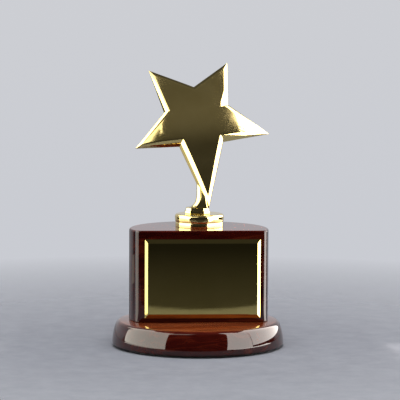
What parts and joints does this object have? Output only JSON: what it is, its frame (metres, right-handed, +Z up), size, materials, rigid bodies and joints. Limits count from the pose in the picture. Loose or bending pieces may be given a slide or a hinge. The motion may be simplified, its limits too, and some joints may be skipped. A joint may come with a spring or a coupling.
{
  "type": "star trophy",
  "caption": "Leaning gold star on a turned collar, half-round lacquered wood block with a blank bevelled plate, and a round plinth.",
  "frame": {"origin": "middle of the resting face under the felt pad, at the bottom of the bounding box", "axes": "+Z up, the name plate and the star's face point to -Y, +X to the right as seen from the front"},
  "size_m": [0.127, 0.127, 0.2073],
  "materials": {
    "felt": "matte felt",
    "lacquered_wood": "high-gloss clear lacquer over red-brown stain",
    "plain_wood": "raw beech",
    "adhesive_sheet": "thin double-sided adhesive sheet",
    "plate_metal": "finely brushed with a bright bevel",
    "gold_plate": "polished gold plating",
    "zinc_steel": "zinc-plated"
  },
  "bodies": {
    "root": {"felt_pad": "felt", "plinth": "lacquered_wood", "block": "lacquered_wood", "alignment_dowels": "plain_wood", "plate_adhesive": "adhesive_sheet", "name_plate": "plate_metal", "collar": "gold_plate", "star": "gold_plate", "threaded_rod": "zinc_steel", "flat_washer": "zinc_steel", "spring_washer": "zinc_steel", "hex_nut": "zinc_steel"}
  },
  "joints": []
}
